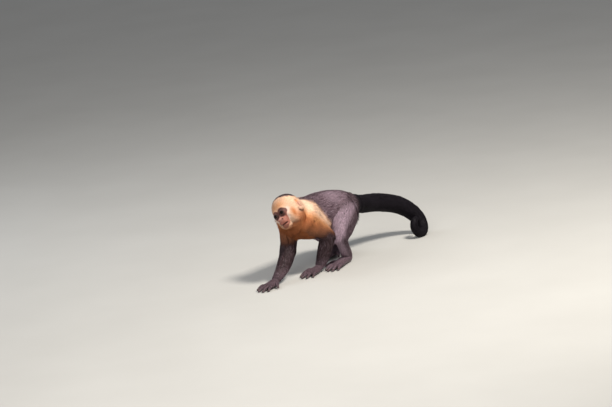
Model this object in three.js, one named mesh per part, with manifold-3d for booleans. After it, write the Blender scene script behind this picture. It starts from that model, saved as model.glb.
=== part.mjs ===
// A white-faced capuchin monkey, life size, walking with its head tilted and its tail tip curled.
// Millimetres, +Z up. The animal walks towards -Y, so its left side is +X, and it stands on z = 0.
// Every solid reaches out to the tips of the coat. The origin is under the middle of the whole model.
import * as THREE from "three";
import { mergeVertices } from "three/addons/utils/BufferGeometryUtils.js";
import Module from "manifold-3d";

const wasm = await Module();
wasm.setup();

// ---------------------------------------------------------------- driving dimensions
const GAP = 0.3; // clearance between neighbouring solids
const EYE_RADIUS = 8.6;
const SOCKET_CLEARANCE = 0.3;
const PLINTH = 400; // side of the block that trims the soles flat

// A station is [x, y, z, half width, half height] of one cross-section, from the body outwards.
const TRUNK = [
  [0, -106, 158, 34, 36],
  [0, -88, 155, 47, 49],
  [0, -60, 153, 55, 57],
  [0, -20, 149, 58, 62],
  [0, 25, 149, 58, 62],
  [0, 70, 150, 56, 57],
  [0, 110, 149, 52, 49],
  [0, 145, 144, 45, 41],
  [0, 172, 140.5, 34, 32.5],
  [0, 190, 139.5, 20, 21],
];
const NECK = [
  [1, -72, 166, 42, 42],
  [5, -98, 178, 41, 43],
  [9, -118, 186, 38, 40],
  [10, -132, 188, 30, 32],
];
const TAIL = [
  [0, 164, 141.5, 27, 27],
  [0, 188, 138.5, 27, 27],
  [2, 225, 130, 27, 27],
  [8, 295, 118, 27, 27],
  [27, 360, 97, 26, 26],
  [47, 396, 70, 23.5, 23.5],
  [64, 410, 45, 20, 20],
  [79, 406, 24, 16, 16],
  [91, 388, 13.5, 14, 14],
  [95, 362, 14.5, 13, 13],
  [94, 345, 32, 11.5, 11.5],
  [91, 350, 51, 10, 10],
  [87, 367, 55, 7.5, 7.5],
];
const ARM = {
  left: [
    [40, -80, 160, 26, 34],
    [47, -58, 136, 25, 30],
    [56, -38, 113, 21, 24],
    [59, -25, 97, 19, 21],
    [53, -30, 74, 20, 23],
    [46.5, -39, 44, 18, 20.5],
    [41.5, -46.5, 25, 15.5, 14],
    [38.5, -51.5, 17, 14, 10.5],
  ],
  right: [
    [-34, -82, 158, 26, 34],
    [-29, -89, 128, 24, 29],
    [-23, -101, 96, 22, 26],
    [-18, -115, 74, 21.5, 25],
    [-9, -144, 51, 20, 23],
    [0, -179, 32, 16.5, 18],
    [4, -203, 21, 13.5, 12.5],
    [5, -212, 17, 12.5, 10],
  ],
};
const LEG = {
  left: [
    [34, 110, 140, 30, 49],
    [50, 72, 124, 28, 48],
    [67, 31, 105, 24, 39],
    [78, 6, 89, 19, 22],
    [72, 23, 66, 15.5, 18],
    [63.5, 42, 42, 15, 17],
    [56.5, 56.5, 27, 15, 16],
    [54, 64, 19.5, 13.5, 14],
  ],
  right: [
    [-32, 124, 140, 30, 50],
    [-50, 114, 113, 28, 43],
    [-67, 106, 88, 23.5, 30],
    [-75, 101, 72, 19, 22],
    [-67, 117, 56, 16, 19],
    [-56, 137, 40, 13.5, 15.5],
    [-46.5, 153, 25, 12.5, 13.5],
    [-42, 161, 20, 11.5, 12],
  ],
};

// Hands and feet lie along a line from the wrist or heel. Places are [along, across, up] in mm,
// with across positive towards the thumb or big toe.
const HAND = {
  sole: [
    [-6, 0, 13, 10.5, 9.5],
    [6, 0, 11, 13, 10],
    [22, 0, 9.5, 16, 9.5],
    [38, 0, 8.5, 17, 8],
    [47, 0, 7.5, 15, 6.5],
  ],
  digits: [
    { root: [38, 12, 8], splay: 12, reach: 34 },
    { root: [42, 4.5, 8], splay: 4, reach: 41 },
    { root: [41, -4, 8], splay: -5, reach: 40 },
    { root: [36, -11.5, 8], splay: -15, reach: 32 },
  ],
  thumb: { root: [15, 10, 9], splay: 42, reach: 30 },
  digitRadius: 5,
};
const FOOT = {
  sole: [
    [-9, 0, 9, 8, 8],
    [0, 0, 11.5, 11.5, 12],
    [22, 0, 12, 13, 12.5],
    [48, 0, 11, 16, 11],
    [70, 0, 9, 18, 9],
    [84, 0, 7.5, 16, 6.5],
  ],
  digits: [
    { root: [74, 12.5, 8], splay: 9, reach: 35 },
    { root: [78, 4.5, 8], splay: 3, reach: 40 },
    { root: [77, -4, 8], splay: -4, reach: 39 },
    { root: [71, -12, 8], splay: -12, reach: 33 },
  ],
  thumb: { root: [42, 11, 9.5], splay: 38, reach: 40 },
  digitRadius: 5.4,
};
// Where each hand and foot starts, and which way it points in degrees from straight ahead to the
// left.
const EXTREMITY = {
  hand: {
    left: { shape: HAND, start: [38, -55], heading: 6 },
    right: { shape: HAND, start: [5, -215], heading: 6 },
  },
  foot: {
    left: { shape: FOOT, start: [55, 66], heading: 9 },
    right: { shape: FOOT, start: [-41, 167], heading: 3 },
  },
};

// The head's own frame: its middle, where the face looks, and the lean of its crown to the right.
const HEAD_AT = new THREE.Vector3(10, -136, 191.5);
const HEAD_TURN = 5; // degrees to the left of straight ahead
const HEAD_PITCH = 2; // degrees up
const HEAD_LEAN = 33; // degrees, crown towards the animal's right
// Rounded masses of the head: [left, forward, up] middle and half sizes.
const HEAD_MASSES = [
  { at: [0, -9, 7], half: [41.5, 48, 46] }, // cranium and cap
  { at: [0, 19, -3], half: [28, 20, 30] }, // face
  { at: [0, 34, -20], half: [15, 15, 13.5] }, // muzzle
  { at: [0, 27.5, -35], half: [14.5, 14.5, 11.5] }, // chin
  { at: [0, 27, 15], half: [22, 11, 9] }, // brow
  { at: [21, 5, -20], half: [16, 20, 20] }, // left cheek ruff
  { at: [-21, 5, -20], half: [16, 20, 20] }, // right cheek ruff
];
const HEAD_BLEND = 9;
const EYE_AT = [12.2, 32.6, 2.5];
const EAR_AT = [40, -15, 0];
const EAR_HALF = [5, 12, 17]; // thickness, depth and height, halved

// ---------------------------------------------------------------- colours
const coat = (color) => new THREE.MeshStandardMaterial({ color, roughness: 0.85, metalness: 0 });
const CREAM = coat(0xe6c39a);
const BROWN_BLACK = coat(0x3a3032);
const BLACK = coat(0x221c1f);
const PALM = coat(0x3b3034);
const PINK = new THREE.MeshStandardMaterial({ color: 0xc98f7f, roughness: 0.6, metalness: 0 });
const EYE = new THREE.MeshStandardMaterial({ color: 0x1c0f0a, roughness: 0.08, metalness: 0 });

// ---------------------------------------------------------------- solids
// Uniform Catmull-Rom through rows of numbers; t runs from 0 to rows.length - 1.
function rowAt(rows, t) {
  const i = Math.min(Math.floor(t), rows.length - 2);
  const s = t - i;
  const [a, b, c, d] = [i - 1, i, i + 1, i + 2].map(
    (k) => rows[THREE.MathUtils.clamp(k, 0, rows.length - 1)],
  );
  return b.map(
    (_, k) =>
      0.5 *
      (2 * b[k] +
        (c[k] - a[k]) * s +
        (2 * a[k] - 5 * b[k] + 4 * c[k] - d[k]) * s * s +
        (3 * b[k] - a[k] - 3 * c[k] + d[k]) * s * s * s),
  );
}

const pointAt = (rows, t) => new THREE.Vector3(...rowAt(rows, t).slice(0, 3));

// The direction of a chain of stations, and the two axes of its cross-section.
function frameAt(rows, t) {
  const last = rows.length - 1;
  const ahead = pointAt(rows, Math.min(t + 0.02, last));
  const along = ahead.sub(pointAt(rows, Math.max(t - 0.02, 0))).normalize();
  const across = Math.abs(along.x) > 0.9 ? new THREE.Vector3(0, 1, 0) : new THREE.Vector3(1, 0, 0);
  const side = across.addScaledVector(along, -across.dot(along)).normalize();
  return { side, up: new THREE.Vector3().crossVectors(along, side), along };
}

// A closed body from rings of points and two end points.
function closedRings(rings, first, last) {
  const sides = rings[0].length;
  const points = [first, ...rings.flat(), last];
  const at = (ring, k) => 1 + ring * sides + (k % sides);
  const faces = [];
  for (let k = 0; k < sides; k++) {
    faces.push([0, at(0, k + 1), at(0, k)]);
    for (let r = 0; r + 1 < rings.length; r++) {
      faces.push([at(r, k), at(r, k + 1), at(r + 1, k)]);
      faces.push([at(r, k + 1), at(r + 1, k + 1), at(r + 1, k)]);
    }
    faces.push([points.length - 1, at(rings.length - 1, k), at(rings.length - 1, k + 1)]);
  }
  return solid(points.flatMap((p) => p.toArray()), faces.flat());
}

// A manifold solid from coordinates and triangles, turned outwards if it came inside out.
function solid(coordinates, triangles) {
  const build = (triVerts) =>
    new wasm.Manifold(
      new wasm.Mesh({
        numProp: 3,
        vertProperties: new Float32Array(coordinates),
        triVerts: new Uint32Array(triVerts),
      }),
    );
  const made = build(triangles);
  return made.volume() > 0 ? made : build([...triangles].reverse());
}

// Numbers from one to another in equal steps.
function evenly(from, to, steps) {
  return Array.from({ length: steps + 1 }, (_, i) => from + ((to - from) * i) / steps);
}

// The body of a chain of stations, with rings at the places given. An end is domed by a depth, or
// flat, and can be trimmed back. Grow swells the body, for cutting its neighbours clear.
function loft(rows, { at, sides, domes = [0, 0], trims = [0, 0], grow = 0 }) {
  const ring = (t, shrink = 1, shift = 0) => {
    const { side, up, along } = frameAt(rows, t);
    const middle = pointAt(rows, t).addScaledVector(along, shift);
    const [width, height] = rowAt(rows, t).slice(3).map((v) => (v + grow) * shrink);
    return Array.from({ length: sides }, (_, k) => {
      const turn = (2 * Math.PI * k) / sides;
      return middle
        .clone()
        .addScaledVector(side, width * Math.cos(turn))
        .addScaledVector(up, height * Math.sin(turn));
    });
  };
  const tip = (t, shift) => pointAt(rows, t).addScaledVector(frameAt(rows, t).along, shift);
  const dome = (t, depth) => [ring(t, 0.86, depth * 0.5), ring(t, 0.5, depth * 0.87)];
  const [from, to] = [at[0], at.at(-1)];
  const [start, end] = domes.map((d) => (d ? d + grow : 0));
  const rings = [
    ring(from, 1, trims[0]),
    ...at.slice(1, -1).map((t) => ring(t)),
    ring(to, 1, -trims[1]),
  ];
  if (start) rings.unshift(...dome(from, -start).reverse());
  if (end) rings.push(...dome(to, end));
  return closedRings(rings, tip(from, trims[0] - start), tip(to, end - trims[1]));
}

// A chain cut square across into consecutive solids with the gap between them, and the whole
// chain swollen.
function cutChain(rows, cuts, { stepsEach, sides, domes }) {
  const spans = stepsEach.map((steps, i) => evenly(cuts[i], cuts[i + 1], steps));
  const last = spans.length - 1;
  const lengths = spans.map((at, i) =>
    loft(rows, {
      at,
      sides,
      domes: [i === 0 ? domes[0] : 0, i === last ? domes[1] : 0],
      trims: [i === 0 ? 0 : GAP / 2, i === last ? 0 : GAP / 2],
    }),
  );
  const joined = spans.flatMap((at, i) => (i === 0 ? at : at.slice(1)));
  return { lengths, grown: loft(rows, { at: joined, sides, domes, grow: GAP }) };
}

// An arm or a leg bent at a station: two lofts that meet there, and both of them swollen.
function limb(rows, joint) {
  const upperRows = rows.slice(0, joint + 1);
  const lowerRows = rows.slice(joint);
  const upper = { at: evenly(0, joint, 4), sides: 11, domes: [12, 12] };
  const lower = { at: evenly(0, lowerRows.length - 1, 4), sides: 11, domes: [12, 3] };
  const upperGrown = loft(upperRows, { ...upper, grow: GAP });
  return {
    upper: loft(upperRows, upper),
    lower: loft(lowerRows, lower).subtract(upperGrown),
    grown: upperGrown.add(loft(lowerRows, { ...lower, grow: GAP })),
  };
}

function minus(body, ...cutters) {
  return cutters.reduce((left, cutter) => left.subtract(cutter), body);
}

// The largest piece of a solid, without slivers that a cut left behind.
function main(body) {
  return body.decompose().reduce((a, b) => (a.volume() > b.volume() ? a : b));
}

// ---------------------------------------------------------------- head
const headTurn = new THREE.Quaternion().setFromEuler(
  new THREE.Euler(
    THREE.MathUtils.degToRad(-HEAD_PITCH),
    THREE.MathUtils.degToRad(-HEAD_LEAN),
    THREE.MathUtils.degToRad(HEAD_TURN),
    "ZXY",
  ),
);
// Own frame of the head, [left, forward, up], in the frame of the model.
function headPoint([left, forward, up]) {
  return new THREE.Vector3(left, -forward, up).applyQuaternion(headTurn).add(HEAD_AT);
}

// Rough distance to an ellipsoid, in mm.
function ellipsoidDistance(point, { at, half }) {
  const scaled = point.map((v, k) => (v - at[k]) / half[k]);
  return (Math.hypot(...scaled) - 1) * Math.min(...half);
}

function smoothMin(a, b, blend) {
  const h = Math.max(blend - Math.abs(a - b), 0) / blend;
  return Math.min(a, b) - (h * h * blend) / 4;
}

// How far the head's surface lies from its middle, along a direction in its own frame.
function headReach(direction) {
  const inside = (reach) =>
    HEAD_MASSES.map((mass) => ellipsoidDistance(direction.map((v) => v * reach), mass)).reduce(
      (a, b) => smoothMin(a, b, HEAD_BLEND),
    ) < 0;
  let [near, far] = [10, 90];
  while (far - near > 0.05) {
    const middle = (near + far) / 2;
    if (inside(middle)) near = middle;
    else far = middle;
  }
  return near;
}

// A sphere of triangles, each of whose points is placed by a function of its direction.
function ball(detail, place) {
  const sphere = new THREE.IcosahedronGeometry(1, detail);
  sphere.deleteAttribute("normal");
  sphere.deleteAttribute("uv");
  const merged = mergeVertices(sphere, 1e-4);
  const directions = merged.getAttribute("position");
  const points = Array.from({ length: directions.count }, (_, i) =>
    place([directions.getX(i), directions.getY(i), directions.getZ(i)]),
  );
  return solid(points.flatMap((p) => p.toArray()), [...merged.index.array]);
}

function headBody(grow = 0) {
  return ball(6, (direction) => {
    const reach = headReach(direction) + grow;
    return headPoint(direction.map((v) => v * reach));
  });
}

function headBall(at, half, detail) {
  return ball(detail, (direction) => headPoint(direction.map((v, k) => at[k] + v * half[k])));
}

const mirrored = (side, [left, ...rest]) => [side === "left" ? left : -left, ...rest];

function eyeball(side, radius) {
  return headBall(mirrored(side, EYE_AT), [radius, radius, radius], 2);
}

// An upright shell with a hollow in its front.
function ear(side) {
  const at = mirrored(side, EAR_AT);
  const outward = Math.sign(at[0]);
  const hollow = [at[0] + outward * 4, at[1] + 3, at[2] + 1];
  return headBall(at, EAR_HALF, 2).subtract(headBall(hollow, [4.2, 8, 12], 1));
}

// ---------------------------------------------------------------- hands and feet
// Turns [along, across, up] of a hand or foot into the frame of the model.
function extremityPoint({ start, heading }, side, [along, across, up]) {
  const turn = THREE.MathUtils.degToRad(heading);
  const medial = side === "left" ? -across : across;
  return [
    start[0] + along * Math.sin(turn) + medial * Math.cos(turn),
    start[1] - along * Math.cos(turn) + medial * Math.sin(turn),
    up,
  ];
}

// A finger or toe: up over its middle joint and down to a pad on the ground.
function digit(limb, side, { root, splay, reach }, radius, grow) {
  const turn = THREE.MathUtils.degToRad(splay);
  const profile = [
    [-0.22, 0, 1.15],
    [0.1, 1.2, 1.1],
    [0.42, 2.4, 1.04],
    [0.72, -0.6, 0.92],
    [1, -4.0, 0.74],
  ];
  const rows = profile.map(([share, lift, girth]) => {
    const along = root[0] + share * reach * Math.cos(turn);
    const across = root[1] + share * reach * Math.sin(turn);
    const place = extremityPoint(limb, side, [along, across, root[2] + lift]);
    return [...place, radius * girth, radius * girth * 0.92];
  });
  return loft(rows, { at: [0, 1.5, 2.7, 4], sides: 5, domes: [0, radius * 0.6], grow });
}

// The palm or sole with its fingers or toes, the same swollen, and the thumb or big toe.
function extremity(limb, side) {
  const { sole, digits, thumb, digitRadius } = limb.shape;
  const rows = sole.map(([along, across, up, width, height]) => [
    ...extremityPoint(limb, side, [along, across, up]),
    width,
    height,
  ]);
  const whole = (grow) =>
    digits.reduce(
      (palm, each) => palm.add(digit(limb, side, each, digitRadius, grow)),
      loft(rows, { at: evenly(0, rows.length - 1, 3), sides: 8, domes: [5, 3], grow }),
    );
  return {
    main: whole(0),
    grown: whole(GAP),
    thumb: digit(limb, side, thumb, digitRadius * 1.06, 0),
  };
}

// ---------------------------------------------------------------- the whole animal
const floorBlock = closedRings(
  [-PLINTH, 0].map((z) =>
    [[-1, -1], [1, -1], [1, 1], [-1, 1]].map(
      ([x, y]) => new THREE.Vector3(x * PLINTH, y * 2 * PLINTH, z),
    ),
  ),
  new THREE.Vector3(0, 0, -PLINTH),
  new THREE.Vector3(0, 0, 0),
);

const pieces = new Map(); // node name to { body, material }
const put = (name, body, material) => pieces.set(name, { body: main(body), material });

const trunk = cutChain(TRUNK, [0, 3.4, 5.6, 9], {
  stepsEach: [5, 3, 5],
  sides: 20,
  domes: [12, 10],
});
const [chest, abdomen, rump] = trunk.lengths;
const headGrown = headBody(GAP);
const neckOptions = { at: evenly(0, 3, 2), sides: 12, domes: [8, 8] };
const neckGrown = loft(NECK, { ...neckOptions, grow: GAP });

const sides = ["left", "right"];
const sockets = sides.map((side) => eyeball(side, EYE_RADIUS + SOCKET_CLEARANCE));
put("head", minus(headBody(), ...sockets), CREAM);
put("neck", minus(loft(NECK, neckOptions), headGrown), CREAM);
put("chest", minus(chest, headGrown, neckGrown), CREAM);
put("abdomen", abdomen, BROWN_BLACK);
put("rump", rump, BROWN_BLACK);

const legs = { left: limb(LEG.left, 3), right: limb(LEG.right, 3) };
for (const side of sides) {
  put(`eye_${side}`, eyeball(side, EYE_RADIUS), EYE);
  put(`ear_${side}`, minus(ear(side), headGrown, neckGrown), PINK);

  const arm = limb(ARM[side], 3);
  const leg = legs[side];
  const hand = extremity(EXTREMITY.hand[side], side);
  const foot = extremity(EXTREMITY.foot[side], side);

  put(`upper_arm_${side}`, minus(arm.upper, trunk.grown, neckGrown, headGrown, leg.grown), CREAM);
  put(`forearm_${side}`, minus(arm.lower, trunk.grown, leg.grown), BLACK);
  put(`hand_${side}`, minus(hand.main, arm.grown, floorBlock), PALM);
  put(`thumb_${side}`, minus(hand.thumb, hand.grown, arm.grown, floorBlock), PALM);
  put(`thigh_${side}`, minus(leg.upper, trunk.grown), BROWN_BLACK);
  put(`shank_${side}`, minus(leg.lower, trunk.grown), BLACK);
  put(`foot_${side}`, minus(foot.main, leg.grown, floorBlock), PALM);
  put(`big_toe_${side}`, minus(foot.thumb, foot.grown, leg.grown, floorBlock), PALM);
}

cutChain(TAIL, [0, 3, 4.4, 5.7, 7, 8.4, 9.8, 12], {
  stepsEach: [4, 2, 3, 3, 3, 3, 4],
  sides: 12,
  domes: [6, 6],
}).lengths.forEach((length, i) => {
  const clear = minus(length, trunk.grown, legs.left.grown, legs.right.grown, floorBlock);
  put(`tail_${i + 1}`, clear, BLACK);
});

// ---------------------------------------------------------------- the group
function meshOf(name, { body, material }) {
  const { vertProperties, triVerts, numProp } = body.getMesh();
  const geometry = new THREE.BufferGeometry();
  const positions = Array.from({ length: vertProperties.length / numProp }, (_, i) =>
    [...vertProperties.slice(i * numProp, i * numProp + 3)],
  ).flat();
  geometry.setAttribute("position", new THREE.Float32BufferAttribute(positions, 3));
  geometry.setIndex([...triVerts]);
  geometry.computeVertexNormals();
  const mesh = new THREE.Mesh(geometry, material);
  mesh.name = name;
  return mesh;
}

const monkey = new THREE.Group();
for (const [name, piece] of pieces) monkey.add(meshOf(name, piece));
const box = new THREE.Box3().setFromObject(monkey);
const middle = box.getCenter(new THREE.Vector3());
monkey.position.set(-middle.x, -middle.y, -box.min.z);

export default monkey;
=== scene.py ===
"""A life-size white-faced capuchin monkey: one skin inside the CAD solids, eyes, nails and a coat.

Shapes are worked out in the CAD source's own frame, in millimetres, with the animal walking
towards -Y, its left side towards +X and the floor at z = 0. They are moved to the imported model's
frame, in metres, when a mesh is made.
"""

import math
from types import SimpleNamespace

import bmesh
import bpy
import numpy as np
from mathutils import Matrix, Vector


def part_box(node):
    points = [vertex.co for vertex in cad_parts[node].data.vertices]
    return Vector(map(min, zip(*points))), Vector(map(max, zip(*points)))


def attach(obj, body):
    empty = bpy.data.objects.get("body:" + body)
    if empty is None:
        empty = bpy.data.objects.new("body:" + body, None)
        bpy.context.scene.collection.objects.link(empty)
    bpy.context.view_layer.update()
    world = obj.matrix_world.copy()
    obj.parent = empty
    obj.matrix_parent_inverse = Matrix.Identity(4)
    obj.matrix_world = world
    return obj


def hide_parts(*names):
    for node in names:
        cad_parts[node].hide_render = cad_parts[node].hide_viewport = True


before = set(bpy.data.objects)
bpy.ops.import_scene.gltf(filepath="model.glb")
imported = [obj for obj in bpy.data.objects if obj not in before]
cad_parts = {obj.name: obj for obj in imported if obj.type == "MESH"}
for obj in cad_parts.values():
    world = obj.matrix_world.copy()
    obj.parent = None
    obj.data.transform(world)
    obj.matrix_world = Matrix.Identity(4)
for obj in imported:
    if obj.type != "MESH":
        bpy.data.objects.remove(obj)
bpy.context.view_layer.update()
random = np.random.default_rng(7)
MM = 0.001

# ---- the body's tables
# A station is [x, y, z, half width, half height, coat depth], outside the coat, in mm.
TRUNK = [
    [0, -106, 158, 34, 36, 9],
    [0, -88, 155, 47, 49, 10],
    [0, -60, 153, 55, 57, 10],
    [0, -20, 149, 58, 62, 10],
    [0, 25, 149, 58, 62, 10],
    [0, 70, 150, 56, 57, 10],
    [0, 110, 149, 52, 49, 10],
    [0, 145, 144, 45, 41, 9],
    [0, 172, 140.5, 34, 32.5, 9],
    [0, 190, 139.5, 20, 21, 8],
]
NECK = [
    [1, -72, 166, 42, 42, 9],
    [5, -98, 178, 41, 43, 9],
    [9, -118, 186, 38, 40, 9],
    [10, -132, 188, 30, 32, 8],
]
TAIL = [
    [0, 164, 141.5, 27, 27, 9],
    [0, 188, 138.5, 27, 27, 10],
    [2, 225, 130, 27, 27, 11],
    [8, 295, 118, 27, 27, 12],
    [27, 360, 97, 26, 26, 12],
    [47, 396, 70, 23.5, 23.5, 11],
    [64, 410, 45, 20, 20, 9],
    [79, 406, 24, 16, 16, 7],
    [91, 388, 13.5, 14, 14, 6],
    [95, 362, 14.5, 13, 13, 5.5],
    [94, 345, 32, 11.5, 11.5, 5],
    [91, 350, 51, 10, 10, 4],
    [87, 367, 55, 7.5, 7.5, 3],
]
ARM = {
    "left": [
        [40, -80, 160, 26, 34, 9],
        [47, -58, 136, 25, 30, 9],
        [56, -38, 113, 21, 24, 8],
        [59, -25, 97, 19, 21, 7],
        [53, -30, 74, 20, 23, 6.5],
        [46.5, -39, 44, 18, 20.5, 5],
        [41.5, -46.5, 25, 15.5, 14, 3],
        [38.5, -51.5, 17, 14, 10.5, 1.5],
    ],
    "right": [
        [-34, -82, 158, 26, 34, 9],
        [-29, -89, 128, 24, 29, 9],
        [-23, -101, 96, 22, 26, 8],
        [-18, -115, 74, 21.5, 25, 7],
        [-9, -144, 51, 20, 23, 6.5],
        [0, -179, 32, 16.5, 18, 5],
        [4, -203, 21, 13.5, 12.5, 3],
        [5, -212, 17, 12.5, 10, 1.5],
    ],
}
LEG = {
    "left": [
        [34, 110, 140, 30, 49, 9],
        [50, 72, 124, 28, 48, 9],
        [67, 31, 105, 24, 39, 8],
        [78, 6, 89, 19, 22, 7],
        [72, 23, 66, 15.5, 18, 6],
        [63.5, 42, 42, 15, 17, 5],
        [56.5, 56.5, 27, 15, 16, 3],
        [54, 64, 19.5, 13.5, 14, 1.8],
    ],
    "right": [
        [-32, 124, 140, 30, 50, 9],
        [-50, 114, 113, 28, 43, 9],
        [-67, 106, 88, 23.5, 30, 8],
        [-75, 101, 72, 19, 22, 7],
        [-67, 117, 56, 16, 19, 6],
        [-56, 137, 40, 13.5, 15.5, 5],
        [-46.5, 153, 25, 12.5, 13.5, 3],
        [-42, 161, 20, 11.5, 12, 1.8],
    ],
}
JOINT = 3  # the station of the elbow or knee

# Hands and feet lie along a line from the wrist or heel: [along, across, up, half width, half
# height], with across positive towards the thumb or big toe. Their hair is DIGIT_COAT deep.
HAND = SimpleNamespace(
    sole=[
        [-6, 0, 13, 10.5, 9.5],
        [6, 0, 11, 13, 10],
        [22, 0, 9.5, 16, 9.5],
        [38, 0, 8.5, 17, 8],
        [47, 0, 7.5, 15, 6.5],
    ],
    # root of each digit, its splay in degrees and its length
    digits=[
        ([38, 12, 8], 12, 34),
        ([42, 4.5, 8], 4, 41),
        ([41, -4, 8], -5, 40),
        ([36, -11.5, 8], -15, 32),
    ],
    thumb=([15, 10, 9], 42, 30),
    radius=5,
)
FOOT = SimpleNamespace(
    sole=[
        [-9, 0, 9, 8, 8],
        [0, 0, 11.5, 11.5, 12],
        [22, 0, 12, 13, 12.5],
        [48, 0, 11, 16, 11],
        [70, 0, 9, 18, 9],
        [84, 0, 7.5, 16, 6.5],
    ],
    digits=[
        ([74, 12.5, 8], 9, 35),
        ([78, 4.5, 8], 3, 40),
        ([77, -4, 8], -4, 39),
        ([71, -12, 8], -12, 33),
    ],
    thumb=([42, 11, 9.5], 38, 40),
    radius=5.4,
)
# name: shape, side, start, heading in degrees to the left
EXTREMITY = {
    "hand_left": (HAND, "left", (38, -55), 6),
    "hand_right": (HAND, "right", (5, -215), 6),
    "foot_left": (FOOT, "left", (55, 66), 9),
    "foot_right": (FOOT, "right", (-41, 167), 3),
}
DIGIT_COAT = 0.7
DIGIT_FLATNESS = 0.92  # height over width
# Along a digit: share of its length, lift of its middle, share of its radius.
DIGIT_PROFILE = [
    [-0.22, 0, 1.15],
    [0.1, 1.2, 1.1],
    [0.42, 2.4, 1.04],
    [0.72, -0.6, 0.92],
    [1, -4.0, 0.74],
]

# The head's own frame is [left, forward, up], in mm from its middle.
HEAD_AT = np.array([10, -136, 191.5])
HEAD_TURN, HEAD_PITCH, HEAD_LEAN = 5, 2, 33  # degrees: left, up, crown to the right
HEAD_REACH = 66  # mm from the head's middle that its shapes stay within
EYE_RADIUS = 8.6
EYE_AT = np.array([12.2, 32.6, 2.5])
EAR_AT = np.array([38.5, -15, 0])

FLOOR_GAP = 0.15  # mm between the skin and the floor

SIDED = ("ear", "upper_arm", "forearm", "hand", "thumb", "thigh", "shank", "foot", "big_toe")
FLESH = ["head", "neck", "chest", "abdomen", "rump"]
FLESH += [f"{part}_{side}" for part in SIDED for side in ("left", "right")]
FLESH += [f"tail_{length}" for length in range(1, 8)]


# ---- numbers and frames
def lengths(vectors):
    return np.linalg.norm(vectors, axis=1)


def unit(vectors):
    return vectors / np.maximum(np.linalg.norm(vectors, axis=-1, keepdims=True), 1e-9)


def smooth_step(low, high, values):
    """From 0 at low to 1 at high, which may be the smaller."""
    t = np.clip((values - low) / (high - low), 0, 1)
    return t * t * (3 - 2 * t)


def smooth_min(a, b, blend):
    h = np.maximum(blend - np.abs(a - b), 0) / blend
    return np.minimum(a, b) - h * h * blend / 4


def smooth_max(a, b, blend):
    return -smooth_min(-a, -b, blend)


def catmull_rom(rows, t):
    """Rows of numbers read at stations t, from 0 to len(rows) - 1, along a smooth curve."""
    rows = np.asarray(rows, float)
    i = np.minimum(np.floor(t).astype(int), len(rows) - 2)
    s = (t - i)[:, None]
    a, b, c, d = (rows[np.clip(i + k, 0, len(rows) - 1)] for k in (-1, 0, 1, 2))
    return 0.5 * (
        2 * b
        + (c - a) * s
        + (2 * a - 5 * b + 4 * c - d) * s * s
        + (3 * b - a - 3 * c + d) * s**3
    )


head_matrix = np.array(
    Matrix.Rotation(math.radians(HEAD_TURN), 3, "Z")
    @ Matrix.Rotation(math.radians(-HEAD_PITCH), 3, "X")
    @ Matrix.Rotation(math.radians(-HEAD_LEAN), 3, "Y")
)
FORWARD_IS_MINUS_Y = np.array([1, -1, 1])


def from_head(places):
    return (np.asarray(places, float) * FORWARD_IS_MINUS_Y) @ head_matrix.T + HEAD_AT


def to_head(points):
    return (points - HEAD_AT) @ head_matrix * FORWARD_IS_MINUS_Y


def folded(places):
    """Places with those on the right moved to their match on the left."""
    return np.abs(places * [1, 0, 0]) + places * [0, 1, 1]


def near_head(points, beyond=0):
    return lengths(points - HEAD_AT) < HEAD_REACH + beyond


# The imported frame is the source's frame, shifted. The left eye, which is round, shows by how much.
eye_low, eye_high = (np.array(corner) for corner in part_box("eye_left"))
SHIFT = (eye_low + eye_high) / 2 / MM - from_head(EYE_AT)


def to_world(points):
    return (np.asarray(points) + SHIFT) * MM


# ---- chains of stations
def chain(name, rows, domes, flow=1, blend=8, spacing=3):
    """A tube through stations, sampled evenly, with an ellipse across each sample.

    The domes are how far its ends bulge, the flow is the way that its hair lies, and the blend
    is how wide its joins with what is there already are rounded.
    """
    dense = catmull_rom(rows, np.linspace(0, len(rows) - 1, 40 * len(rows)))
    steps = lengths(np.diff(dense[:, :3], axis=0))
    run = np.concatenate([[0], np.cumsum(steps)])
    count = max(int(round(run[-1] / spacing)), 4) + 1
    even = np.linspace(0, run[-1], count)
    rows = np.stack([np.interp(even, run, column) for column in dense.T], axis=1)
    middles = rows[:, :3]
    along = unit(np.gradient(middles, axis=0))
    reference = np.where(np.abs(along[:, :1]) > 0.9, [[0.0, 1, 0]], [[1.0, 0, 0]])
    side = unit(reference - along * (reference * along).sum(1, keepdims=True))
    radii = rows[:, 3:5] - rows[:, 5:6]
    return SimpleNamespace(
        name=name,
        middles=middles,
        along=along,
        side=side,
        up=np.cross(along, side),
        radii=radii,
        growth=np.gradient(radii, axis=0),
        spacing=run[-1] / (count - 1),
        depth=rows[:, 5],
        domes=domes,
        flow=flow,
        blend=blend,
        low=(middles - radii.max(1, keepdims=True)).min(0) - max(domes),
        high=(middles + radii.max(1, keepdims=True)).max(0) + max(domes),
    )


BATCH = 60000


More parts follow.
